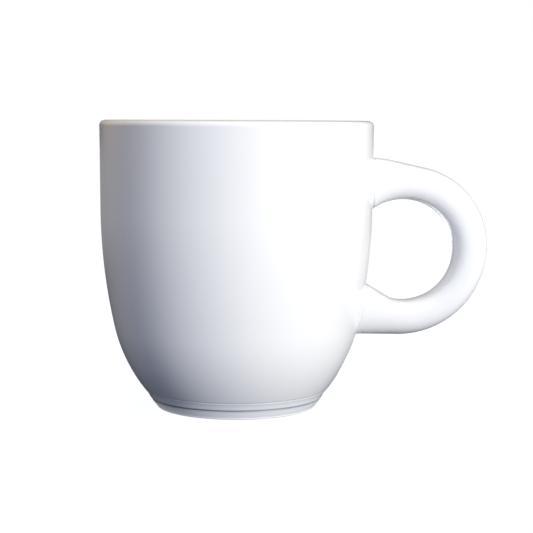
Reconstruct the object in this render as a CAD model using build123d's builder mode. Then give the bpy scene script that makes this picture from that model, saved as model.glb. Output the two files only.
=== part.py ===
from build123d import *
import os
from math import asin, cos, degrees, radians, sin

# A shaving mug: a cast cup on a turned foot ring, a cast loop handle, the slip that lutes them
# together, and the loose cake of shaving soap on the cup's floor.
#
# Frame: millimetres, +Z up along the cup's axis, +X towards the handle, and the origin where
# the axis meets the table. Profiles are drawn in the XZ plane as (distance from axis, height).

# Driving dimensions ---------------------------------------------------------------------------

# Cup. Its side runs down from the lip as a straight wall, then a wide arc, then a tighter one.
cup_height = 90.0            # table to the top of the lip
rim_radius = 42.8            # outside of the wall just under the lip
wall_thickness = 4.4         # also the diameter of the fully rounded lip
wall_flare = 0.4             # degrees that the straight wall leans outwards
wall_length = 25.5           # straight wall, measured down its face from the lip
belly_radius = 173.0         # wide arc under the straight wall
belly_turn = 12.3            # degrees of that arc
heel_radius = 50.0           # tighter arc from the belly down to the underside
underside_height = 5.9       # flat underside of the cup
heel_edge_radius = 0.3
floor_height = 11.0          # inside floor
floor_fillet = 8.0           # between the floor and the inside of the wall

# Foot ring, and the slip between it and the cup.
slip_thickness = 0.4
foot_top_radius = 28.85      # where the cove meets the slip
cove_radius = 8.0            # hollow curve between the cup and the groove
groove_radius = 27.4         # upper edge of the groove above the foot band
groove_height = 3.3
groove_width = 0.5
groove_depth = 0.2
band_top_radius = 27.0       # the band that the cup seems to stand on
band_foot_radius = 25.3
band_bulge = 0.1
foot_round = 0.6             # between the band and the bearing face
bearing_inner_radius = 22.6  # the bearing face is the flat that touches the table
foot_inner_top_radius = 21.0
foot_slip_setback = 0.15     # the slip ends this far inside the foot ring's edges

# Handle. Its outer edge starts as a level line at the bottom and goes round anticlockwise.
handle_width = 13.0          # across the loop, along Y
handle_edge_round = 5.0
handle_bottom = 22.85        # height of the level lower edge
lower_arc_start = 50.9       # distance from the axis where that edge starts to curve
lower_arc_radius = 28.0
lower_arc_turn = 94.0
upper_arc_radius = 25.0
top_slope = 12.5             # degrees that the straight upper edge falls away from the cup
top_length = 10.5
shoulder_radius = 37.0       # last curve of the upper edge, where it meets the cup
shoulder_slope = 3.0
upper_end_x = 36.0           # the handle's ends start inside the cup and are cut back to its side
lower_end_x = 33.0

# Finger opening: round, with a straight upper edge and a flared lower one where it meets the cup.
finger_centre = (52.25, 49.75)
finger_radius = 15.85
opening_top_slope = 33.5     # degrees
opening_foot_start = 7.1     # degrees past the lowest point, where the round part ends
opening_foot_radius = 7.0    # curve from the round part into the straight lower edge
opening_foot_slope = 31.5    # degrees

# Slip pads under the handle's two ends.
pad_bead = 0.35              # the pad shows this far past the handle, all round
pad_corner = 5.2
pad_reach = 46.0             # outside the cup, where the pads are still uncut
upper_pad_span = (62.6, 78.55)
lower_pad_span = (22.85, 38.8)

# Cake of shaving soap.
soap_radius = 28.0
soap_thickness = 22.0
soap_bottom_round = 6.0
soap_top_round = 2.5

# The cup's side -------------------------------------------------------------------------------

flare = radians(wall_flare)
lip_radius = wall_thickness / 2
lip_height = cup_height - lip_radius * (1 + sin(flare))

# Where the belly gives way to the heel: the side's angle from the vertical, and its height.
belly_end = radians(wall_flare + belly_turn)
belly_drop = belly_radius * (sin(belly_end) - sin(flare))
belly_end_height = lip_height - wall_length * cos(flare) - belly_drop
heel_centre_height = belly_end_height + heel_radius * sin(belly_end)


def wall_line(outset):
    """Draw the straight wall, going down, this far outside the cup's outer face."""
    return PolarLine(
        (rim_radius + outset * cos(flare), lip_height - outset * sin(flare)),
        wall_length,
        direction=(-sin(flare), -cos(flare)),
    )


def belly_arc(wall, outset):
    """Draw the wide arc that follows the straight wall."""
    return JernArc(wall @ 1, wall % 1, belly_radius + outset, -belly_turn)


def heel_arc(belly, outset, end_angle):
    """Draw the tighter arc that follows the belly, until it is end_angle degrees off vertical."""
    return JernArc(belly @ 1, belly % 1, heel_radius + outset, degrees(belly_end) - end_angle)


def heel_end_angle(outset, flat_height, round_radius=0):
    """Angle off vertical, in degrees, at which the heel arc gives way to a round that runs into
    a flat at this height (or, with no round, at which it reaches that height)."""
    centre_distance = heel_radius + outset - round_radius
    return degrees(asin((heel_centre_height - flat_height - round_radius) / centre_distance))


def solid_cup(outset):
    """Make the cup without its hollow, its side this far outside the real one."""
    with BuildPart() as blank:
        with BuildSketch(Plane.XZ):
            with BuildLine():
                wall = wall_line(outset)
                belly = belly_arc(wall, outset)
                heel = heel_arc(belly, outset, heel_end_angle(outset, underside_height))
                Polyline(heel @ 1, (0, underside_height), (0, (wall @ 0).Y), wall @ 0)
            make_face()
        revolve(axis=Axis.Z)
    return blank.part


# Cup body -------------------------------------------------------------------------------------

outer_end_angle = heel_end_angle(0, underside_height, heel_edge_radius)
inner_end_angle = heel_end_angle(-wall_thickness, floor_height, floor_fillet)

with BuildPart() as cup_body:
    with BuildSketch(Plane.XZ):
        with BuildLine():
            outer_wall = wall_line(0)
            outer_belly = belly_arc(outer_wall, 0)
            outer_heel = heel_arc(outer_belly, 0, outer_end_angle)
            heel_edge = JernArc(
                outer_heel @ 1, outer_heel % 1, heel_edge_radius, outer_end_angle - 90
            )

            inner_wall = wall_line(-wall_thickness)
            inner_belly = belly_arc(inner_wall, -wall_thickness)
            inner_heel = heel_arc(inner_belly, -wall_thickness, inner_end_angle)
            floor_curve = JernArc(
                inner_heel @ 1, inner_heel % 1, floor_fillet, inner_end_angle - 90
            )
            Polyline(floor_curve @ 1, (0, floor_height), (0, underside_height), heel_edge @ 1)

            outer_lip = JernArc(outer_wall @ 0, -(outer_wall % 0), lip_radius, 90)
            TangentArc(outer_lip @ 1, inner_wall @ 0, tangent=outer_lip % 1)
        make_face()
    # Left as drawn, so that the lip keeps its top line and the two halves mesh evenly.
    revolve(axis=Axis.Z, clean=False)

# Foot ring and its slip -----------------------------------------------------------------------

foot_top = underside_height - slip_thickness

with BuildPart() as foot_ring:
    with BuildSketch(Plane.XZ):
        with BuildLine():
            cove_start = (foot_top_radius, foot_top)
            cove = RadiusArc(cove_start, (groove_radius, groove_height), -cove_radius)
            band_top = (band_top_radius, groove_height - groove_width)
            groove = SagittaArc(cove @ 1, band_top, -groove_depth)
            band = SagittaArc(groove @ 1, (band_foot_radius, foot_round), band_bulge)
            bearing_edge = RadiusArc(band @ 1, (band_foot_radius - foot_round, 0), foot_round)
            inner_top = (foot_inner_top_radius, foot_top)
            Polyline(bearing_edge @ 1, (bearing_inner_radius, 0), inner_top, cove @ 0)
        make_face()
    revolve(axis=Axis.Z)

with BuildPart() as foot_slip:
    with BuildSketch(Plane.XY.offset(foot_top)):
        Circle(foot_top_radius - foot_slip_setback)
        Circle(foot_inner_top_radius + foot_slip_setback, mode=Mode.SUBTRACT)
    extrude(amount=slip_thickness)

# Handle ---------------------------------------------------------------------------------------

luted_cup = solid_cup(slip_thickness)


def straight_on(curve, end_x):
    """Draw a straight line on from the end of a curve until it is end_x from the axis."""
    distance = (curve @ 1).X - end_x
    return PolarLine(
        curve @ 1, distance, direction=curve % 1, length_mode=LengthMode.HORIZONTAL
    )


with BuildPart() as handle:
    with BuildSketch(Plane.XZ):
        with BuildLine():
            level = Line((lower_end_x, handle_bottom), (lower_arc_start, handle_bottom))
            lower = JernArc(level @ 1, level % 1, lower_arc_radius, lower_arc_turn)
            upper_arc_turn = 180 - top_slope - lower_arc_turn
            upper = JernArc(lower @ 1, lower % 1, upper_arc_radius, upper_arc_turn)
            top = PolarLine(upper @ 1, top_length, direction=upper % 1)
            shoulder = JernArc(top @ 1, top % 1, shoulder_radius, top_slope - shoulder_slope)
            top_end = straight_on(shoulder, upper_end_x)

            opening_start = 270 - opening_foot_start
            opening_turn = 180 + opening_foot_start + opening_top_slope
            opening = CenterArc(finger_centre, finger_radius, opening_start, opening_turn)
            opening_end = straight_on(opening, upper_end_x)
            Line(top_end @ 1, opening_end @ 1)

            foot_turn = opening_foot_slope - opening_foot_start
            opening_foot = JernArc(opening @ 0, -(opening % 0), opening_foot_radius, -foot_turn)
            foot_end = straight_on(opening_foot, lower_end_x)
            Line(foot_end @ 1, level @ 0)
        make_face()
    extrude(amount=handle_width / 2, both=True)
    side_edges = handle.faces().filter_by(Axis.Y).edges()
    fillet(side_edges.filter_by(lambda edge: edge.center().X > upper_end_x), handle_edge_round)
    add(luted_cup, mode=Mode.SUBTRACT)

# Slip pads under the handle's ends ------------------------------------------------------------

dry_cup = solid_cup(0)


def slip_pad(span):
    """Make the pad of slip that covers a handle end's footprint over this span of heights."""
    bottom, top = span
    with BuildPart() as pad:
        with BuildSketch(Plane.YZ):
            with Locations((0, (bottom + top) / 2)):
                pad_width = handle_width + 2 * pad_bead
                pad_height = top - bottom + 2 * pad_bead
                RectangleRounded(pad_width, pad_height, pad_corner)
        extrude(amount=pad_reach)
        add(luted_cup, mode=Mode.INTERSECT)
        add(dry_cup, mode=Mode.SUBTRACT)
    return pad


upper_handle_slip = slip_pad(upper_pad_span)
lower_handle_slip = slip_pad(lower_pad_span)

# Cake of soap, resting on the cup's floor -----------------------------------------------------

with BuildPart() as shaving_soap:
    with BuildSketch(Plane.XY.offset(floor_height)):
        Circle(soap_radius)
    extrude(amount=soap_thickness)
    fillet(shaving_soap.faces().sort_by(Axis.Z).first.edges(), soap_bottom_round)
    fillet(shaving_soap.faces().sort_by(Axis.Z).last.edges(), soap_top_round)

# Write the pieces -----------------------------------------------------------------------------

pieces = {
    "cup_body": cup_body,
    "foot_ring": foot_ring,
    "foot_slip": foot_slip,
    "handle": handle,
    "upper_handle_slip": upper_handle_slip,
    "lower_handle_slip": lower_handle_slip,
    "shaving_soap": shaving_soap,
}

os.makedirs("parts", exist_ok=True)
for label, piece in pieces.items():
    piece.part.label = label
    export_step(piece.part, f"parts/{label}.step")
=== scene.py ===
import math

import bmesh
import bpy
import numpy as np
from mathutils import Matrix, Vector, noise


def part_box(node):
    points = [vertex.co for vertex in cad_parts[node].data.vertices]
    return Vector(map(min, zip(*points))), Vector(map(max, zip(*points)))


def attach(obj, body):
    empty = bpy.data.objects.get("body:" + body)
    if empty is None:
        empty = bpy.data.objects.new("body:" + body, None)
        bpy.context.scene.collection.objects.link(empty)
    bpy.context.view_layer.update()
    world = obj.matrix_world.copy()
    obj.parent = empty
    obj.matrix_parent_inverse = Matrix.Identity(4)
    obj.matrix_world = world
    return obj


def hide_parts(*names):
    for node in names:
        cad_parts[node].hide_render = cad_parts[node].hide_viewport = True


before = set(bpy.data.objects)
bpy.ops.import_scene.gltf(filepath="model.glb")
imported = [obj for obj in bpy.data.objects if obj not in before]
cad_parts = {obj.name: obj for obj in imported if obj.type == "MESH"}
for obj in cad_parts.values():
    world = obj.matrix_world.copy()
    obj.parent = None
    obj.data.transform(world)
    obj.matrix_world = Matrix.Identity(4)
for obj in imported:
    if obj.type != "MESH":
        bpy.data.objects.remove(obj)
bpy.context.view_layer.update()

# A white glazed shaving mug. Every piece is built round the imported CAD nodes, in metres, with the
# cup's axis on Z, the handle towards +X and the table at z = 0.

MM = 0.001

# The cup, from its CAD box and the same curves as its CAD node ------------------------------------

cup_low, cup_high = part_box("cup_body")
RIM_RADIUS = cup_high.x
CUP_TOP = cup_high.z
UNDERSIDE = cup_low.z
WALL = 4.4 * MM
FLARE = math.radians(0.4)            # lean of the straight upper wall
WALL_LENGTH = 25.5 * MM
BELLY_RADIUS = 173.0 * MM
BELLY_TURN = math.radians(12.3)
HEEL_RADIUS = 50.0 * MM
HEEL_EDGE = 0.3 * MM
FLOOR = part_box("shaving_soap")[0].z  # the soap rests on the cup's floor
FLOOR_FILLET = 8.0 * MM

LIP_RADIUS = WALL / 2
LIP_HEIGHT = CUP_TOP - LIP_RADIUS * (1 + math.sin(FLARE))
BELLY_END = FLARE + BELLY_TURN
HEEL_CENTRE_HEIGHT = (
    LIP_HEIGHT - WALL_LENGTH * math.cos(FLARE)
    - BELLY_RADIUS * (math.sin(BELLY_END) - math.sin(FLARE))
    + HEEL_RADIUS * math.sin(BELLY_END)
)

# Detail that firing and glazing leave on the cup.
LIP_SHOULDER = 1.6 * MM              # round on each edge of the lip, tighter than its crown
LIP_SHOULDER_TURN = math.radians(70)
OUTER_RIPPLE = 0.05 * MM             # depth of the soft waves left by fettling
OUTER_RIPPLE_SIZE = 24 * MM
INNER_RING_DEPTH = 0.07 * MM         # faint turned rings inside
INNER_RING_PITCH = 6.2 * MM
BASE_RING_DEPTH = 0.12 * MM          # turned rings on the underside
BASE_RING_PITCH = 2.3 * MM


# Meshes -------------------------------------------------------------------------------------------

class Pen:
    """Traces a profile of lines and arcs in a plane, as points at most `step` apart."""

    def __init__(self, x, z, heading, step=0.5 * MM):
        self.points = [(x, z)]
        self.heading = heading
        self.step = step

    def line(self, length):
        """A straight line in the present heading."""
        x, z = self.points[-1]
        count = max(1, math.ceil(length / self.step))
        for i in range(1, count + 1):
            reach = length * i / count
            self.points.append(
                (x + reach * math.cos(self.heading), z + reach * math.sin(self.heading))
            )
        return self

    def line_to(self, x, z):
        """A straight line to a point."""
        x0, z0 = self.points[-1]
        self.heading = math.atan2(z - z0, x - x0)
        return self.line(math.hypot(x - x0, z - z0))

    def arc(self, radius, turn):
        """An arc that starts in the present heading. A positive turn is anticlockwise."""
        x, z = self.points[-1]
        side = math.copysign(1, turn)
        centre_x = x - side * radius * math.sin(self.heading)
        centre_z = z + side * radius * math.cos(self.heading)
        count = max(3, math.ceil(abs(turn) * radius / self.step))
        for i in range(1, count + 1):
            heading = self.heading + turn * i / count
            self.points.append(
                (
                    centre_x + side * radius * math.sin(heading),
                    centre_z - side * radius * math.cos(heading),
                )
            )
        self.heading += turn
        return self


def heel_end_angle(outset, flat_height, round_radius):
    """Angle off vertical where the heel arc runs into a round that ends flat at this height."""
    centre_distance = HEEL_RADIUS + outset - round_radius
    return math.asin((HEEL_CENTRE_HEIGHT - flat_height - round_radius) / centre_distance)


def side_down(outset, flat_height, round_radius):
    """Profile of the cup's side from the lip down to a flat, this far outside its outer face."""
    end_angle = heel_end_angle(outset, flat_height, round_radius)
    pen = Pen(
        RIM_RADIUS + outset * math.cos(FLARE),
        LIP_HEIGHT - outset * math.sin(FLARE),
        -math.pi / 2 - FLARE,
    )
    pen.line(WALL_LENGTH)
    pen.arc(BELLY_RADIUS + outset, -BELLY_TURN)
    pen.arc(HEEL_RADIUS + outset, BELLY_END - end_angle)
    if round_radius < 1 * MM:
        pen.step = 0.1 * MM
    pen.arc(round_radius, end_angle - math.pi / 2)
    return pen.points


def lathe(name, profile, segments=288, closed=False):
    """Turn a profile of (radius, height) points about Z. A point at radius 0 is a single vertex."""
    verts, faces, rings = [], [], []
    for radius, height in profile:
        first = len(verts)
        if radius < 1e-9:
            verts.append((0.0, 0.0, height))
            rings.append([first] * segments)
            continue
        for i in range(segments):
            angle = math.tau * i / segments
            verts.append((radius * math.cos(angle), radius * math.sin(angle), height))
        rings.append(list(range(first, first + segments)))
    if closed:
        rings.append(rings[0])
    for low, high in zip(rings, rings[1:]):
        for i in range(segments):
            j = (i + 1) % segments
            corners = [low[i], low[j], high[j], high[i]]
            faces.append(list(dict.fromkeys(corners)))
    return new_object(name, verts, faces)


def new_object(name, verts, faces):
    """A smooth-shaded mesh object with its faces turned outwards."""
    mesh = bpy.data.meshes.new(name)
    mesh.from_pydata(verts, [], faces)
    work = bmesh.new()
    work.from_mesh(mesh)
    bmesh.ops.recalc_face_normals(work, faces=work.faces)
    work.to_mesh(mesh)
    work.free()
    mesh.shade_smooth()
    piece = bpy.data.objects.new(name, mesh)
    bpy.context.scene.collection.objects.link(piece)
    return piece


def reshape(piece, move):
    """Move every vertex of a piece to move(x, y, z)."""
    for vertex in piece.data.vertices:
        vertex.co = move(*vertex.co)
    piece.data.update()


def paint(piece, attribute, amount):
    """Store amount(x, y, z) on every vertex, for the materials to read."""
    layer = piece.data.attributes.new(attribute, "FLOAT", "POINT")
    layer.data.foreach_set("value", [amount(*vertex.co) for vertex in piece.data.vertices])


def smooth_step(low, high, value):
    """0 below low, 1 above high, and a smooth ramp between. high may be the smaller."""
    t = min(1.0, max(0.0, (value - low) / (high - low)))
    return t * t * (3 - 2 * t)


def soft_noise(x, y, z, size, seed):
    """Smooth noise from -1 to 1 whose lumps are about this many metres across."""
    return noise.noise(Vector((x / size + seed, y / size, z / size)))


# Cup ----------------------------------------------------------------------------------------------

def over_lip(start):
    """The lip, from just past the outer wall's top to just short of the inner wall's."""
    crown_turn = math.pi - 2 * LIP_SHOULDER_TURN
    shoulder_width = LIP_SHOULDER * (1 - math.cos(LIP_SHOULDER_TURN))
    crown_radius = (WALL / 2 - shoulder_width) / math.sin(crown_turn / 2)
    shoulder_rise = LIP_SHOULDER * math.sin(LIP_SHOULDER_TURN)
    crown_rise = crown_radius * (1 - math.cos(crown_turn / 2))
    pen = Pen(*start, math.pi / 2, step=0.15 * MM)
    pen.line(CUP_TOP - start[1] - shoulder_rise - crown_rise)
    pen.arc(LIP_SHOULDER, LIP_SHOULDER_TURN)
    pen.arc(crown_radius, crown_turn)
    pen.arc(LIP_SHOULDER, LIP_SHOULDER_TURN)
    return pen.points[1:]


def cup_profile():
    """The cup's closed half section: underside, outside, lip, inside, floor."""
    outside = side_down(0, UNDERSIDE, HEEL_EDGE)
    inside = side_down(-WALL, FLOOR, FLOOR_FILLET)
    underside = Pen(0, UNDERSIDE, 0, step=0.35 * MM).line_to(*outside[-1])
    floor = Pen(*inside[-1], math.pi).line_to(0, FLOOR)
    return underside.points[:-1] + outside[::-1] + over_lip(outside[0]) + inside + floor.points[1:]


def underside_rings(x, y, z, edge_radius):
    """The underside's turned rings, which stop short of its edge."""
    radius = math.hypot(x, y)
    angle = math.atan2(y, x)
    wave = 0.5 - 0.5 * math.cos(math.tau * radius / BASE_RING_PITCH + 0.4 * angle)
    fade = smooth_step(edge_radius - 1 * MM, edge_radius - 3 * MM, radius)
    return x, y, z + BASE_RING_DEPTH * wave * fade


def inside_rings(x, y, z):
    """The faint spiral of turned rings on the inside wall and floor."""
    radius = math.hypot(x, y)
    angle = math.atan2(y, x)
    along = z + 0.35 * radius + INNER_RING_PITCH * angle / math.tau
    wave = 0.5 + 0.5 * math.sin(math.tau * along / INNER_RING_PITCH)
    wave *= 0.6 + 0.4 * soft_noise(x, y, z, 18 * MM, 4.0)
    fade = smooth_step(CUP_TOP - 3 * MM, CUP_TOP - 14 * MM, z)
    depth = INNER_RING_DEPTH * wave * fade
    upright = smooth_step(FLOOR, FLOOR + FLOOR_FILLET, z)
    grow = 1 + depth * upright / radius
    return x * grow, y * grow, z - depth * (1 - upright)


def outside_waves(x, y, z):
    """The soft waves that fettling leaves on the outside, below the lip."""
    wave = 0.5 + 0.5 * soft_noise(x, y, 0.4 * z, OUTER_RIPPLE_SIZE, 9.0)
    wave *= smooth_step(CUP_TOP, CUP_TOP - 4 * MM, z)
    shrink = 1 - OUTER_RIPPLE * wave / math.hypot(x, y)
    return x * shrink, y * shrink, z


def make_cup():
    outside = side_down(0, UNDERSIDE, HEEL_EDGE)[::-1]
    heights = np.array([z for _, z in outside])
    wall_middles = np.array([x for x, _ in outside]) - WALL / 2
    edge_radius = outside[0][0]

    def fired(x, y, z):
        radius = math.hypot(x, y)
        if radius < 1e-6:
            return x, y, z
        if z < UNDERSIDE + 0.05 * MM and radius < edge_radius - 0.2 * MM:
            return underside_rings(x, y, z, edge_radius)
        if radius < np.interp(z, heights, wall_middles):
            return inside_rings(x, y, z)
        return outside_waves(x, y, z)

    cup = lathe("cup_glazed", cup_profile())
    reshape(cup, fired)
    return cup


# Foot ---------------------------------------------------------------------------------------------

foot_low, foot_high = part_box("foot_ring")
FOOT_TOP_RADIUS = foot_high.x
FOOT_TOP = foot_high.z
COVE_RADIUS = 8.0 * MM
GROOVE_RADIUS = 27.4 * MM
GROOVE_HEIGHT = 3.3 * MM
GROOVE_WIDTH = 0.5 * MM
GROOVE_DEPTH = 0.40 * MM             # deeper than on the CAD node, so that it shows
BAND_TOP_RADIUS = 27.0 * MM
BAND_FOOT_RADIUS = 25.3 * MM
BAND_BULGE = 0.1 * MM
FOOT_ROUND = 0.6 * MM
BEARING_INNER_RADIUS = 22.6 * MM
FOOT_INNER_TOP_RADIUS = 21.0 * MM
GLAZE_EDGE = 0.20 * MM               # the glaze is wiped off the foot below this height
GLAZE_EDGE_WANDER = 0.12 * MM        # more or less
GLAZE_STEP = 0.11 * MM               # the glaze stands this proud of the bare clay
GRIT = 0.03 * MM                     # roughness of the bare clay
FOOT_SLIP_SETBACK = 0.15 * MM        # from the recess to the slip's inner edge
FOOT_COVE_REACH = 0.15 * MM          # glaze in the corner of the slip, out along the underside
FOOT_COVE_SAG = 0.06 * MM            # and how far its face curves in


def arc_points(start, end, sagitta, count):
    """Points on the arc from start to end whose middle bulges sagitta to the left of the way."""
    (x0, z0), (x1, z1) = start, end
    half_chord = math.hypot(x1 - x0, z1 - z0) / 2
    left_x, left_z = -(z1 - z0) / (2 * half_chord), (x1 - x0) / (2 * half_chord)
    radius = (half_chord**2 + sagitta**2) / (2 * sagitta)
    points = []
    for i in range(count + 1):
        across = half_chord * (2 * i / count - 1)
        rise = math.copysign(math.sqrt(radius**2 - across**2), radius) - (radius - sagitta)
        part = (across / half_chord + 1) / 2
        x = x0 + (x1 - x0) * part + left_x * rise
        z = z0 + (z1 - z0) * part + left_z * rise
        points.append((x, z))
    return points


def foot_profile():
    """The foot's closed half section: cove, groove, band, bearing face and recess."""
    cove_start = (FOOT_TOP_RADIUS, FOOT_TOP)
    cove_end = (GROOVE_RADIUS, GROOVE_HEIGHT)
    half_chord = math.dist(cove_start, cove_end) / 2
    cove_sagitta = COVE_RADIUS - math.sqrt(COVE_RADIUS**2 - half_chord**2)
    band_top = (BAND_TOP_RADIUS, GROOVE_HEIGHT - GROOVE_WIDTH)
    profile = arc_points(cove_start, cove_end, -cove_sagitta, 16)
    profile += arc_points(cove_end, band_top, -GROOVE_DEPTH, 8)[1:]
    profile += arc_points(band_top, (BAND_FOOT_RADIUS, FOOT_ROUND), BAND_BULGE, 16)[1:]
    pen = Pen(*profile[-1], -math.pi / 2, step=0.1 * MM)
    pen.arc(FOOT_ROUND, -math.pi / 2)
    pen.step = 0.25 * MM
    pen.line_to(BEARING_INNER_RADIUS, 0)
    pen.line_to(FOOT_INNER_TOP_RADIUS, FOOT_TOP)
    pen.step = 0.5 * MM
    pen.line_to(*cove_start)
    return profile + pen.points[1:-1]


def wiped(x, y, z):
    """Step the foot's surface in where its glaze was wiped off, and roughen the bare clay."""
    radius = math.hypot(x, y)
    edge = GLAZE_EDGE + GLAZE_EDGE_WANDER * soft_noise(x, y, 0, 5 * MM, 2.0)
    bare = smooth_step(edge + 0.1 * MM, edge - 0.1 * MM, z)
    side = 1 if radius < (BEARING_INNER_RADIUS + BAND_FOOT_RADIUS) / 2 else -1
    upright = smooth_step(0, 0.3 * MM, z)
    grow = 1 + side * GLAZE_STEP * bare * upright / radius
    grit = GRIT * (0.5 + 0.5 * soft_noise(x, y, z, 0.7 * MM, 7.0))
    return x * grow, y * grow, z + grit * (1 - upright) * bare


def make_foot():
    foot = lathe("foot_turned", foot_profile(), closed=True)
    reshape(foot, wiped)
    return foot


def make_foot_joint():
    """The slip between the cup and the foot, with the small cove of glaze that fills its corner."""
    slip_low, slip_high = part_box("foot_slip")
    inner = FOOT_INNER_TOP_RADIUS + FOOT_SLIP_SETBACK
    corner = (FOOT_TOP_RADIUS + FOOT_COVE_REACH, slip_high.z)
    cove = arc_points(corner, (FOOT_TOP_RADIUS, slip_low.z), -FOOT_COVE_SAG, 8)
    pen = Pen(inner, slip_low.z, math.pi / 2, step=0.2 * MM)
    pen.line_to(inner, slip_high.z)
    pen.step = 0.6 * MM
    pen.line_to(*corner)
    base = Pen(*cove[-1], math.pi, step=0.6 * MM).line_to(inner, slip_low.z)
    return lathe("foot_joint", pen.points + cove[1:] + base.points[1:-1], closed=True)


# Handle -------------------------------------------------------------------------------------------

handle_low, handle_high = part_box("handle")
HANDLE_HALF_WIDTH = handle_high.y
HANDLE_BOTTOM = handle_low.z
LOWER_ARC_START = 50.9 * MM
LOWER_ARC_RADIUS = 28.0 * MM
LOWER_ARC_TURN = math.radians(94.0)
UPPER_ARC_RADIUS = 25.0 * MM
TOP_SLOPE = math.radians(12.5)
TOP_LENGTH = 10.5 * MM
SHOULDER_RADIUS = 37.0 * MM
SHOULDER_SLOPE = math.radians(3.0)
FINGER_CENTRE = (52.25 * MM, 49.75 * MM)
FINGER_RADIUS = 15.85 * MM
OPENING_TOP_SLOPE = math.radians(33.5)
OPENING_FOOT_START = math.radians(7.1)
OPENING_FOOT_RADIUS = 7.0 * MM
OPENING_FOOT_SLOPE = math.radians(31.5)
UPPER_END_X = 36.0 * MM
LOWER_END_X = 33.0 * MM
SECTION_POWER = 2.5                  # 2 is an ellipse; more is squarer
SEAM_HEIGHT = 0.07 * MM              # fettled mould seam down the middle of the loop
SEAM_WIDTH = 0.5 * MM
SEAM_INSET = 0.02 * MM               # keeps the seam inside the CAD node's box
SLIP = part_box("foot_slip")[1].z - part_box("foot_slip")[0].z  # thickness of all the slip joints
AROUND = 96                          # vertices round the handle
ALONG = 260                          # rings along it
HANDLE_LENGTH = 105 * MM             # along its middle
LOWER_END_SEARCH = (0.0, 0.35)       # fractions along the handle, inside and outside the cup
UPPER_END_SEARCH = (1.0, 0.75)

# Cove of glaze round each end of the handle.
COVE_SPREAD = 0.55 * MM              # out over the cup
COVE_CLIMB = 0.45 * MM               # up the handle
COVE_SUNK = 0.08 * MM                # its edge, and the joint's back, into the cup
COVE_STEPS = 8


def level_to(pen, x):
    """Go straight on until the pen is x from the axis."""
    return pen.line((x - pen.points[-1][0]) / math.cos(pen.heading))


def handle_outer():
    """The loop's outer edge, from the lower end round to the upper one."""
    pen = Pen(LOWER_END_X, HANDLE_BOTTOM, 0)
    pen.line_to(LOWER_ARC_START, HANDLE_BOTTOM)
    pen.arc(LOWER_ARC_RADIUS, LOWER_ARC_TURN)
    pen.arc(UPPER_ARC_RADIUS, math.pi - TOP_SLOPE - LOWER_ARC_TURN)
    pen.line(TOP_LENGTH)
    pen.arc(SHOULDER_RADIUS, TOP_SLOPE - SHOULDER_SLOPE)
    return level_to(pen, UPPER_END_X).points


def handle_inner():
    """The edge of the finger opening, from the lower end round to the upper one."""
    centre_x, centre_z = FINGER_CENTRE
    start_angle = -math.pi / 2 - OPENING_FOOT_START
    start = (
        centre_x + FINGER_RADIUS * math.cos(start_angle),
        centre_z + FINGER_RADIUS * math.sin(start_angle),
    )
    back = Pen(*start, math.pi - OPENING_FOOT_START)
    back.arc(OPENING_FOOT_RADIUS, OPENING_FOOT_START - OPENING_FOOT_SLOPE)
    level_to(back, LOWER_END_X)
    pen = Pen(*start, -OPENING_FOOT_START)
    pen.arc(FINGER_RADIUS, math.pi + OPENING_FOOT_START + OPENING_TOP_SLOPE)
    level_to(pen, UPPER_END_X)
    return back.points[:0:-1] + pen.points


def evenly(points):
    """A function that gives the point at any fraction of a path's length."""
    path = np.array(points)
    reach = np.concatenate([[0], np.cumsum(np.hypot(*np.diff(path, axis=0).T))])
    reach /= reach[-1]
    return lambda part: Vector(
        (np.interp(part, reach, path[:, 0]), 0, np.interp(part, reach, path[:, 1]))
    )


def cup_side():
    """A function that gives the radius of the cup's outer face at a height."""
    outside = side_down(0, UNDERSIDE, HEEL_EDGE)[::-1]
    heights = [z for _, z in outside]
    radii = [x for x, _ in outside]
    return lambda height: np.interp(height, heights, radii)


outer_at = evenly(handle_outer())
inner_at = evenly(handle_inner())
side_at = cup_side()


def handle_point(part, angle):
    """A point on the handle's surface: part of the way along it, and angle round its section,
    where 0 is the outer edge and pi the finger opening."""
    outer, inner = outer_at(part), inner_at(part)
    centre = (outer + inner) / 2
    reach = (outer - inner) / 2
    across, deep = math.sin(angle), math.cos(angle)
    squareness = (abs(across) ** SECTION_POWER + abs(deep) ** SECTION_POWER) ** (-1 / SECTION_POWER)
    in_plane = deep * squareness
    sideways = across * squareness
    seam = math.exp(-((sideways * HANDLE_HALF_WIDTH / SEAM_WIDTH) ** 2))
    inset = 1 - (SEAM_HEIGHT * (1 - seam) + SEAM_INSET) / reach.length
    point = centre + reach * (in_plane * inset)
    point.y = HANDLE_HALF_WIDTH * sideways
    return point


def outside_by(point, outset):
    """How far a point is outside the cup's outer face grown by outset."""
    return math.hypot(point.x, point.y) - side_at(point.z) - outset


def on_cup(point, outset):
    """The point moved along X onto the cup's outer face grown by outset."""
    radius = side_at(point.z) + outset
    return Vector((math.sqrt(radius**2 - point.y**2), point.y, point.z))


def where_handle_meets(angle, inside_part, outside_part, outset):
    """The fraction along the handle where its surface, at this angle, leaves the cup."""
    for _ in range(40):
        middle = (inside_part + outside_part) / 2
        if outside_by(handle_point(middle, angle), outset) > 0:
            outside_part = middle
        else:
            inside_part = middle
    return (inside_part + outside_part) / 2


HANDLE_ANGLES = [math.tau * i / AROUND for i in range(AROUND)]
LOWER_ENDS = [where_handle_meets(angle, *LOWER_END_SEARCH, SLIP) for angle in HANDLE_ANGLES]
UPPER_ENDS = [where_handle_meets(angle, *UPPER_END_SEARCH, SLIP) for angle in HANDLE_ANGLES]


def add_ring(verts, points):
    """Add a ring of points, and return its vertex numbers."""
    first = len(verts)
    verts += [tuple(point) for point in points]
    return list(range(first, len(verts)))


def stitch(faces, low, high):
    """Join two rings of vertex numbers with quads."""
    for i in range(len(low)):
        j = (i + 1) % len(low)
        faces.append([low[i], low[j], high[j], high[i]])


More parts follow.
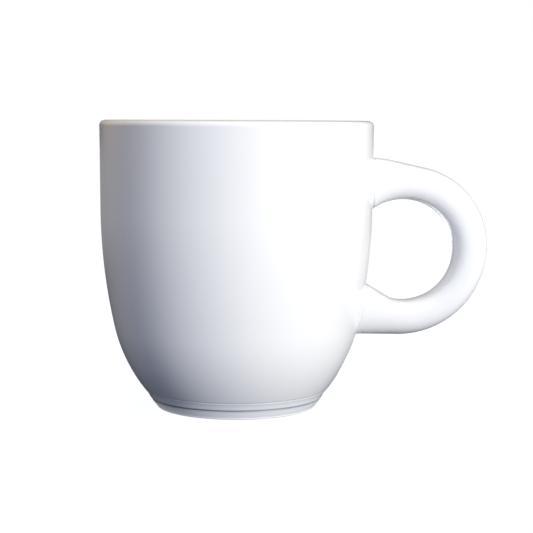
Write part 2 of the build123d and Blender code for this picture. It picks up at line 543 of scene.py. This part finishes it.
def saddle(verts, faces, rim, outset, rings=7):
    """Close a ring of vertex numbers with a patch that lies on the cup grown by outset."""
    centre = sum((Vector(verts[i]) for i in rim), Vector()) / len(rim)
    last = rim
    for ring in range(rings - 1, 0, -1):
        inset = [centre.lerp(Vector(verts[i]), ring / rings) for i in rim]
        row = add_ring(verts, [on_cup(point, outset) for point in inset])
        stitch(faces, last, row)
        last = row
    verts.append(tuple(on_cup(centre, outset)))
    faces += [[last[i], last[(i + 1) % len(last)], len(verts) - 1] for i in range(len(last))]


def make_handle():
    verts, faces, rows = [], [], []
    for ring in range(ALONG + 1):
        part = ring / ALONG
        points = []
        for angle, low, high in zip(HANDLE_ANGLES, LOWER_ENDS, UPPER_ENDS):
            points.append(handle_point(low + (high - low) * part, angle))
        rows.append(add_ring(verts, points))
    for low, high in zip(rows, rows[1:]):
        stitch(faces, low, high)
    saddle(verts, faces, rows[0], SLIP)
    saddle(verts, faces, rows[-1], SLIP)
    return new_object("handle_loop", verts, faces)


def cove_curve(corner, centre, top):
    """Points on the cove's face, from the cup's side up to a point on the handle."""
    base = on_cup(corner, 0)
    out = on_cup(base + (base - centre).normalized() * COVE_SPREAD, -COVE_SUNK)
    curve = []
    for i in range(COVE_STEPS + 1):
        t = i / COVE_STEPS
        curve.append(out * (1 - t) ** 2 + base * (2 * t * (1 - t)) + top * t**2)
    return curve


def make_handle_joint(name, ends, away):
    """The slip under one end of the handle, with the small cove of glaze round it. away is +1
    where the fraction along the handle grows away from the cup, and -1 at its other end."""
    near = [handle_point(part, angle) for part, angle in zip(ends, HANDLE_ANGLES)]
    centre = sum(near, Vector()) / len(near)
    further = away * COVE_CLIMB / HANDLE_LENGTH
    curves = []
    for part, angle, corner in zip(ends, HANDLE_ANGLES, near):
        curves.append(cove_curve(corner, centre, handle_point(part + further, angle)))
    verts, faces = [], []
    rows = [add_ring(verts, points) for points in zip(*curves)]
    rows.append(add_ring(verts, near))
    for low, high in zip(rows, rows[1:]):
        stitch(faces, low, high)
    saddle(verts, faces, rows[-1], SLIP)
    saddle(verts, faces, rows[0], -COVE_SUNK)
    return new_object(name, verts, faces)


# Soap ---------------------------------------------------------------------------------------------

soap_low, soap_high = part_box("shaving_soap")
SOAP_RADIUS = soap_high.x
SOAP_BOTTOM_ROUND = 6.0 * MM
SOAP_TOP_ROUND = 2.5 * MM
SOAP_DISH = 1.5 * MM                 # hollow worn by the brush
SOAP_SWIRL = 0.24 * MM               # depth of the brush marks in it
SOAP_SWIRL_ARMS = 11
SOAP_SWIRL_TWIST = 1.1 * MM          # along the radius, for each radian that an arm turns
SOAP_WAIST = 0.15 * MM               # unevenness of its side


def lathered(x, y, z):
    """Wear the soap's top hollow, with the brush's marks, and make its side a little uneven."""
    radius = math.hypot(x, y)
    angle = math.atan2(y, x)
    top = smooth_step(soap_high.z - SOAP_TOP_ROUND, soap_high.z, z)
    worn = 1 - smooth_step(0, SOAP_RADIUS - 3 * MM, radius)
    lumps = soft_noise(x, y, 0, 13 * MM, 3.0)
    arms = math.sin(SOAP_SWIRL_ARMS * angle + radius / SOAP_SWIRL_TWIST + 2.0 * lumps)
    marks = (0.5 + 0.5 * arms) * smooth_step(1 * MM, 8 * MM, radius)
    marks *= smooth_step(SOAP_RADIUS, SOAP_RADIUS - 6 * MM, radius)
    drop = SOAP_DISH * worn * (1 + 0.15 * lumps) + SOAP_SWIRL * marks
    shrink = 1.0
    if radius > 1e-6:
        waist = smooth_step(soap_low.z, soap_low.z + 4 * MM, z)
        unevenness = 0.5 + 0.5 * soft_noise(x, y, z, 9 * MM, 5.0)
        shrink -= waist * SOAP_WAIST * unevenness / radius
    return x * shrink, y * shrink, z - top * drop


def make_soap():
    pen = Pen(0, soap_low.z, 0)
    pen.line_to(SOAP_RADIUS - SOAP_BOTTOM_ROUND, soap_low.z)
    pen.arc(SOAP_BOTTOM_ROUND, math.pi / 2)
    pen.line_to(SOAP_RADIUS, soap_high.z - SOAP_TOP_ROUND)
    pen.step = 0.25 * MM
    pen.arc(SOAP_TOP_ROUND, math.pi / 2)
    pen.line_to(0, soap_high.z)
    soap = lathe("soap_cake", pen.points, segments=240)
    reshape(soap, lathered)
    return soap


# Materials ----------------------------------------------------------------------------------------

# A Mix node has a set of sockets for each type of value. These are the factor and the colours.
COLOUR_MIX_INPUTS = (0, 6, 7)
COLOUR_MIX_OUTPUT = 2


def rgb(red, green, blue):
    """A colour, as the material nodes take it."""
    return (red, green, blue, 1.0)


# Glaze: two whites that it drifts between, the dark blue-grey of the painted shade in the groove,
# on the joints and above the foot, and that of an iron speck.
GLAZE_COOL = rgb(0.86, 0.865, 0.87)
GLAZE_WARM = rgb(0.89, 0.89, 0.885)
PAINTED_SHADE_COLOUR = rgb(0.18, 0.24, 0.32)
IRON_SPECK = rgb(0.42, 0.33, 0.25)
GLAZE_ROUGHNESS = (0.13, 0.19)
ROUGHNESS_WITH_SHADE = 0.4               # added to that where the painted shade is

# Rare marks in the glaze, scattered over a pattern of cells.
SPECK_SPACING = 5 * MM               # size of the cells
SPECK_SHARE = 0.10                   # part of them that have a mark
SPECK_RADIUS = (0.035, 0.015)        # of the mark's edge and of its core, in cells
SPECK_STRENGTH = 0.35
PINHOLE_SPACING = 4 * MM
PINHOLE_SHARE = 0.05
PINHOLE_RADIUS = (0.04, 0.02)
PINHOLE_DEPTH = 0.02 * MM

CLAY_DARK = rgb(0.68, 0.62, 0.53)
CLAY_LIGHT = rgb(0.80, 0.75, 0.67)
CLAY_RUBBED = rgb(0.48, 0.47, 0.45)
CLAY_ROUGHNESS = (0.75, 0.92)

SOAP_DARK = rgb(0.87, 0.79, 0.60)
SOAP_LIGHT = rgb(0.93, 0.88, 0.74)
SOAP_ROUGHNESS = (0.42, 0.6)
DRIED_LATHER = rgb(0.95, 0.93, 0.88)


class Shader:
    """A material's node tree, with short calls for the few kinds of node that it uses."""

    def __init__(self, name):
        self.material = bpy.data.materials.new(name)
        self.material.use_nodes = True
        self.nodes = self.material.node_tree.nodes
        self.links = self.material.node_tree.links
        self.surface = self.nodes["Principled BSDF"]
        self.place = self.nodes.new("ShaderNodeTexCoord").outputs["Object"]

    def set(self, **values):
        """Set inputs of the surface by name, with _ for a space. A socket is linked."""
        for name, value in values.items():
            self.feed(self.surface.inputs[name.replace("_", " ")], value)

    def feed(self, socket, value):
        """Give an input a value, or link it to a socket."""
        if isinstance(value, bpy.types.NodeSocket):
            self.links.new(value, socket)
        else:
            socket.default_value = value

    def stretched(self, x, y, z):
        """The place on the object, scaled along each axis."""
        node = self.nodes.new("ShaderNodeMapping")
        node.inputs["Scale"].default_value = (x, y, z)
        self.links.new(self.place, node.inputs["Vector"])
        return node.outputs["Vector"]

    def noise(self, size, detail=3.0, roughness=0.5, place=None):
        """Noise from 0 to 1 whose lumps are about this many metres across."""
        node = self.nodes.new("ShaderNodeTexNoise")
        node.inputs["Scale"].default_value = 1 / size
        node.inputs["Detail"].default_value = detail
        node.inputs["Roughness"].default_value = roughness
        self.links.new(place or self.place, node.inputs["Vector"])
        return node.outputs["Fac"]

    def cells(self, size):
        """Distance from the nearest cell centre, in cells, and that cell's random number."""
        node = self.nodes.new("ShaderNodeTexVoronoi")
        node.inputs["Scale"].default_value = 1 / size
        self.links.new(self.place, node.inputs["Vector"])
        split = self.nodes.new("ShaderNodeSeparateColor")
        self.links.new(node.outputs["Color"], split.inputs["Color"])
        return node.outputs["Distance"], split.outputs["Red"]

    def spots(self, spacing, share, radius):
        """Round spots, 1 in the core and 0 outside, in about this share of a pattern's cells."""
        distance, chance = self.cells(spacing)
        chosen = self.ramp(chance, 1 - share, 1.02 - share)
        return self.math("MULTIPLY", self.ramp(distance, *radius), chosen)

    def attribute(self, name):
        """A number that was painted on the vertices."""
        node = self.nodes.new("ShaderNodeAttribute")
        node.attribute_name = name
        return node.outputs["Fac"]

    def math(self, operation, a, b=0.0):
        node = self.nodes.new("ShaderNodeMath")
        node.operation = operation
        self.feed(node.inputs[0], a)
        self.feed(node.inputs[1], b)
        return node.outputs["Value"]

    def ramp(self, value, low, high, out_low=0.0, out_high=1.0):
        """value from low to high, as a smooth run from out_low to out_high."""
        node = self.nodes.new("ShaderNodeMapRange")
        node.interpolation_type = "SMOOTHSTEP"
        for socket, number in zip(node.inputs, (value, low, high, out_low, out_high)):
            self.feed(socket, number)
        return node.outputs["Result"]

    def mix(self, part, first, second):
        """Two colours, mixed."""
        node = self.nodes.new("ShaderNodeMix")
        node.data_type = "RGBA"
        for index, value in zip(COLOUR_MIX_INPUTS, (part, first, second)):
            self.feed(node.inputs[index], value)
        return node.outputs[COLOUR_MIX_OUTPUT]

    def bump(self, height, distance, strength=1.0, under=None):
        node = self.nodes.new("ShaderNodeBump")
        node.inputs["Distance"].default_value = distance
        node.inputs["Strength"].default_value = strength
        self.links.new(height, node.inputs["Height"])
        if under is not None:
            self.links.new(under, node.inputs["Normal"])
        return node.outputs["Normal"]


def glaze_material(name):
    """Glossy white glaze: a slight drift of tone, painted shade of dark blue-grey in the groove
    round the foot, on the joints and faintly above the foot, rare iron specks and pinholes, and the
    faint orange-peel of a fired surface."""
    shader = Shader(name)
    drift = shader.noise(28 * MM, detail=2.0)
    # Painted shade: the colour is mixed towards a dark blue-grey by this painted amount, in the
    # groove round the foot, on the joints and faintly above the foot, and the glaze is made rougher
    # there too.
    painted_shade = shader.attribute("painted_shade")
    colour = shader.mix(drift, GLAZE_COOL, GLAZE_WARM)
    colour = shader.mix(painted_shade, colour, PAINTED_SHADE_COLOUR)

    speck = shader.spots(SPECK_SPACING, SPECK_SHARE, SPECK_RADIUS)
    colour = shader.mix(shader.math("MULTIPLY", speck, SPECK_STRENGTH), colour, IRON_SPECK)

    roughness = shader.ramp(shader.noise(7 * MM, detail=4.0), 0.3, 0.7, *GLAZE_ROUGHNESS)
    roughness = shader.math("ADD", roughness, shader.math("MULTIPLY", painted_shade, ROUGHNESS_WITH_SHADE))

    peel = shader.bump(shader.noise(2.4 * MM, detail=2.0), 0.004 * MM)
    pinhole = shader.spots(PINHOLE_SPACING, PINHOLE_SHARE, PINHOLE_RADIUS)
    pitted = shader.bump(shader.math("SUBTRACT", 1.0, pinhole), PINHOLE_DEPTH, 0.5, under=peel)
    shader.set(Base_Color=colour, Roughness=roughness, Normal=pitted, IOR=1.5)
    return shader.material


def bare_clay_material():
    """The unglazed bearing face: warmer, matt and gritty, with grey rub marks."""
    shader = Shader("bare_clay")
    grain = shader.noise(0.5 * MM, detail=6.0, roughness=0.7)
    colour = shader.mix(grain, CLAY_DARK, CLAY_LIGHT)
    rub = shader.ramp(shader.noise(4 * MM, detail=4.0), 0.55, 0.72, 0.0, 0.35)
    colour = shader.mix(rub, colour, CLAY_RUBBED)
    shader.set(
        Base_Color=colour,
        Roughness=shader.ramp(grain, 0.3, 0.7, *CLAY_ROUGHNESS),
        Normal=shader.bump(grain, 0.08 * MM, 0.8),
    )
    return shader.material


def soap_material():
    """Creamy hard soap: waxy and slightly translucent, with paler dried lather in the marks."""
    shader = Shader("shaving_soap")
    streaks = shader.noise(5 * MM, detail=5.0, place=shader.stretched(1, 1, 3))
    colour = shader.mix(streaks, SOAP_DARK, SOAP_LIGHT)
    lather = shader.math("MULTIPLY", shader.attribute("lather"), shader.noise(1.5 * MM, detail=4.0))
    colour = shader.mix(shader.math("MULTIPLY", lather, 0.9), colour, DRIED_LATHER)
    fine = shader.noise(0.8 * MM, detail=4.0)
    shader.set(
        Base_Color=colour,
        Roughness=shader.ramp(fine, 0.3, 0.7, *SOAP_ROUGHNESS),
        Normal=shader.bump(fine, 0.05 * MM, 0.5),
        Subsurface_Weight=0.25,
        Subsurface_Radius=(3.0, 2.0, 1.2),
        Subsurface_Scale=0.6 * MM,
    )
    return shader.material


# Pieces on their bodies ---------------------------------------------------------------------------

# How much painted shade darkens the glaze, from 0 to 1: in the groove round the foot, on the cup
# above the foot, and
# # on the joints between the parts.
GROOVE_SHADE = 0.95
GROOVE_SHADE_HEIGHT = 0.40 * MM       # from the groove's middle to where little is left
FOOT_SHADE = 0.06
FOOT_SHADE_TOP = 22 * MM              # it starts at this height
FOOT_SHADE_FULL = 4 * MM              # and is full at this one
JOINT_SHADE = {"foot_joint": 0.3, "upper_handle_joint": 0.12, "lower_handle_joint": 0.12}


def painted_shade_amount(x, y, z):
    """Painted shade: dark in the groove round the foot, and a little on the cup just above it,
    growing darker towards the foot."""
    groove_middle = GROOVE_HEIGHT - GROOVE_WIDTH / 2
    is_outside = math.hypot(x, y) > BAND_FOOT_RADIUS
    in_groove = math.exp(-(((z - groove_middle) / GROOVE_SHADE_HEIGHT) ** 2)) * is_outside
    above_foot = smooth_step(FOOT_SHADE_TOP, FOOT_SHADE_FULL, z) * is_outside
    return GROOVE_SHADE * in_groove + FOOT_SHADE * above_foot * (1 - in_groove)


def put_in_frame(piece, body, node, slot, *materials):
    """Give a piece its materials and its body, and hide the CAD node that it stands for. slot is
    not used.
    """
    for material in materials:
        piece.data.materials.append(material)
    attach(piece, body)
    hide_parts(node)


glaze = glaze_material("white_glaze")
clay = bare_clay_material()

cup = make_cup()
foot = make_foot()
foot_joint = make_foot_joint()
handle = make_handle()
upper_joint = make_handle_joint("upper_handle_joint", UPPER_ENDS, -1)
lower_joint = make_handle_joint("lower_handle_joint", LOWER_ENDS, 1)
soap = make_soap()

# Painted shade: stored on the cup, foot and handle by where it falls, and as one flat amount on
# each joint between the parts.
for piece in (cup, foot, handle):
    paint(piece, "painted_shade", painted_shade_amount)
for piece in (foot_joint, upper_joint, lower_joint):
    paint(piece, "painted_shade", lambda x, y, z: JOINT_SHADE[piece.name])
paint(soap, "lather", lambda x, y, z: smooth_step(soap_high.z - 4 * MM, soap_high.z - 1 * MM, z))

put_in_frame(cup, "mug", "cup_body", "white_glaze", glaze)
put_in_frame(foot, "mug", "foot_ring", "foot_glaze", glaze, clay)
put_in_frame(foot_joint, "mug", "foot_slip", "glazed_slip", glaze)
put_in_frame(handle, "mug", "handle", "white_glaze", glaze)
put_in_frame(upper_joint, "mug", "upper_handle_slip", "glazed_slip", glaze)
put_in_frame(lower_joint, "mug", "lower_handle_slip", "glazed_slip", glaze)
put_in_frame(soap, "soap", "shaving_soap", "soap", soap_material())

for face in foot.data.polygons:
    if face.center.z < GLAZE_EDGE:
        face.material_index = 1          # bare clay


# Studio -------------------------------------------------------------------------------------------

# How brightly the floor lights the mug, as (distance from its axis in metres, strength): a white
# glow right beside the foot, nothing under the belly, and the lit backdrop further off.
FLOOR_GLOW = ((0, 0.28), (0.0265, 0.28), (0.030, 0.0), (0.25, 0.0), (0.6, 0.2), (4.0, 0.2))

# Brighter patches of floor behind the mug, which lighten the edges that face down or into the
# finger opening: from and to in x, from and to in y, in metres, and strength.
FLOOR_PATCHES = (
    (-0.03, 0.06, 0.03, 0.60, 3.0),
    (0.035, 0.30, 0.05, 0.60, 0.3),
)
PATCH_EDGE = 0.04                    # how far each patch fades in from its edges

FLOOR_DARK = rgb(0.07, 0.10, 0.155)
FLOOR_LIGHT = rgb(0.08, 0.11, 0.175)
FLOOR_GLOW_COLOUR = rgb(0.95, 0.96, 0.98)
FLOOR_AS_SEEN = rgb(0.96, 0.96, 0.96)


def floor_material():
    """A floor that the camera sees white, and that is dark to the mug but for its own glow. It
    can't be seen from below, so that the mug's underside can."""
    shader = Shader("studio_floor")
    nodes, links = shader.nodes, shader.links
    seen = nodes.new("ShaderNodeLightPath").outputs["Is Camera Ray"]
    shader.set(
        Base_Color=shader.mix(shader.noise(0.5), FLOOR_DARK, FLOOR_LIGHT),
        Roughness=1.0,
        Specular_IOR_Level=0.0,
        Emission_Color=shader.mix(seen, FLOOR_GLOW_COLOUR, FLOOR_AS_SEEN),
        Emission_Strength=shader.math("MAXIMUM", seen, shader.attribute("glow")),
    )
    clear = nodes.new("ShaderNodeBsdfTransparent")
    facing = nodes.new("ShaderNodeNewGeometry")
    either = nodes.new("ShaderNodeMixShader")
    links.new(facing.outputs["Backfacing"], either.inputs["Fac"])
    links.new(shader.surface.outputs["BSDF"], either.inputs[1])
    links.new(clear.outputs["BSDF"], either.inputs[2])
    links.new(either.outputs["Shader"], nodes["Material Output"].inputs["Surface"])
    return shader.material


def fade_in(low, high, value):
    """1 between low and high, with a smooth ramp inside each end, and 0 outside them."""
    return smooth_step(low, low + PATCH_EDGE, value) * smooth_step(high, high - PATCH_EDGE, value)


def floor_glow(x, y, z):
    """How brightly the floor lights the mug at a point."""
    glow = np.interp(math.hypot(x, y), *zip(*FLOOR_GLOW))
    for x_low, x_high, y_low, y_high, strength in FLOOR_PATCHES:
        glow += strength * fade_in(x_low, x_high, x) * fade_in(y_low, y_high, y)
    return glow


def make_floor():
    distances = [distance for distance, _ in FLOOR_GLOW]
    rings = np.concatenate([distances[:2], np.geomspace(distances[2], distances[-1], 60)])
    floor = lathe("studio_floor", [(radius, 0.0) for radius in rings], segments=192)
    for polygon in floor.data.polygons:
        if polygon.normal.z < 0:
            polygon.flip()
    floor.data.update()
    paint(floor, "glow", floor_glow)
    floor.data.materials.append(floor_material())


# Broad, soft patches of light in the sky: azimuth (0 in front of the cup, 90 towards the handle)
# and elevation of the middle, how far it spreads, all in degrees, and colour.
SKY = (
    (0, 90, 50, (1.22, 1.19, 1.08)),
    (-28, 36, 50, (0.53, 0.62, 0.93)),
    (45, 45, 50, (0.36, 0.32, 0.22)),
    (-135, 45, 50, (0.45, 0.32, 0.12)),
    (-110, 8, 45, (0.54, 0.33, 0.03)),
    (105, 8, 45, (0.66, 0.67, 0.70)),
    (180, 8, 35, (0.10, 0.14, 0.24)),
)


def towards(azimuth, elevation):
    """Direction from the cup. Azimuth 0 is in front of it, at -Y, and 90 towards +X."""
    a, e = math.radians(azimuth), math.radians(elevation)
    return Vector((math.sin(a) * math.cos(e), -math.cos(a) * math.cos(e), math.sin(e)))


def make_world():
    """A white backdrop for the camera, and the soft sky for everything else."""
    world = bpy.data.worlds.new("studio")
    world.use_nodes = True
    bpy.context.scene.world = world
    nodes, links = world.node_tree.nodes, world.node_tree.links
    direction = nodes.new("ShaderNodeTexCoord").outputs["Generated"]
    light = None
    for azimuth, elevation, spread, colour in SKY:
        nearness = nodes.new("ShaderNodeVectorMath")
        nearness.operation = "DOT_PRODUCT"
        links.new(direction, nearness.inputs[0])
        nearness.inputs[1].default_value = towards(azimuth, elevation)
        fade = nodes.new("ShaderNodeMapRange")
        fade.interpolation_type = "SMOOTHSTEP"
        fade.inputs["From Min"].default_value = math.cos(math.radians(spread))
        links.new(nearness.outputs["Value"], fade.inputs["Value"])
        patch = nodes.new("ShaderNodeVectorMath")
        patch.operation = "MULTIPLY_ADD"
        links.new(fade.outputs["Result"], patch.inputs[0])
        patch.inputs[1].default_value = colour
        if light is not None:
            links.new(light, patch.inputs[2])
        light = patch.outputs["Vector"]
    seen = nodes.new("ShaderNodeLightPath").outputs["Is Camera Ray"]
    shown = nodes.new("ShaderNodeMix")
    shown.data_type = "RGBA"
    factor, first, second = (shown.inputs[index] for index in COLOUR_MIX_INPUTS)
    links.new(seen, factor)
    links.new(light, first)
    second.default_value = rgb(1, 1, 1)
    links.new(shown.outputs[COLOUR_MIX_OUTPUT], nodes["Background"].inputs["Color"])


KEY_AZIMUTH = 44                     # degrees
KEY_ELEVATION = 8
KEY_DISTANCE = 1.1
KEY_SIZE = 0.35
KEY_POWER = 12.1                     # watts
KEY_COLOUR = (1.0, 0.985, 0.965)


def make_key_light():
    """A square softbox aimed at the middle of the cup."""
    light = bpy.data.lights.new("key", "AREA")
    light.size = KEY_SIZE
    light.energy = KEY_POWER
    light.color = KEY_COLOUR
    item = bpy.data.objects.new("key", light)
    bpy.context.scene.collection.objects.link(item)
    away = towards(KEY_AZIMUTH, KEY_ELEVATION) * KEY_DISTANCE
    item.location = Vector((0, 0, CUP_TOP / 2)) + away
    item.rotation_euler = (-away).to_track_quat("-Z", "Y").to_euler()


CAMERA_LENS = 96.9                   # millimetres, on Blender's 36 mm sensor
CAMERA_PLACE = (9.5 * MM, -451 * MM, CUP_TOP + 1.0 * MM)
CAMERA_LOOKS_DOWN = 5.94             # degrees
CAMERA_ROLL = 0.3


def make_camera():
    """A long lens a little above the rim, looking slightly down, so the rim is seen edge-on."""
    camera = bpy.data.cameras.new("camera")
    camera.lens = CAMERA_LENS
    camera.clip_start = 0.01
    item = bpy.data.objects.new("camera", camera)
    bpy.context.scene.collection.objects.link(item)
    item.location = CAMERA_PLACE
    pitch = Matrix.Rotation(math.radians(90 - CAMERA_LOOKS_DOWN), 4, "X")
    roll = Matrix.Rotation(math.radians(CAMERA_ROLL), 4, "Z")
    item.rotation_euler = (pitch @ roll).to_euler()
    bpy.context.scene.camera = item


make_floor()
make_world()
make_key_light()
make_camera()
bpy.context.scene.view_settings.view_transform = "Standard"
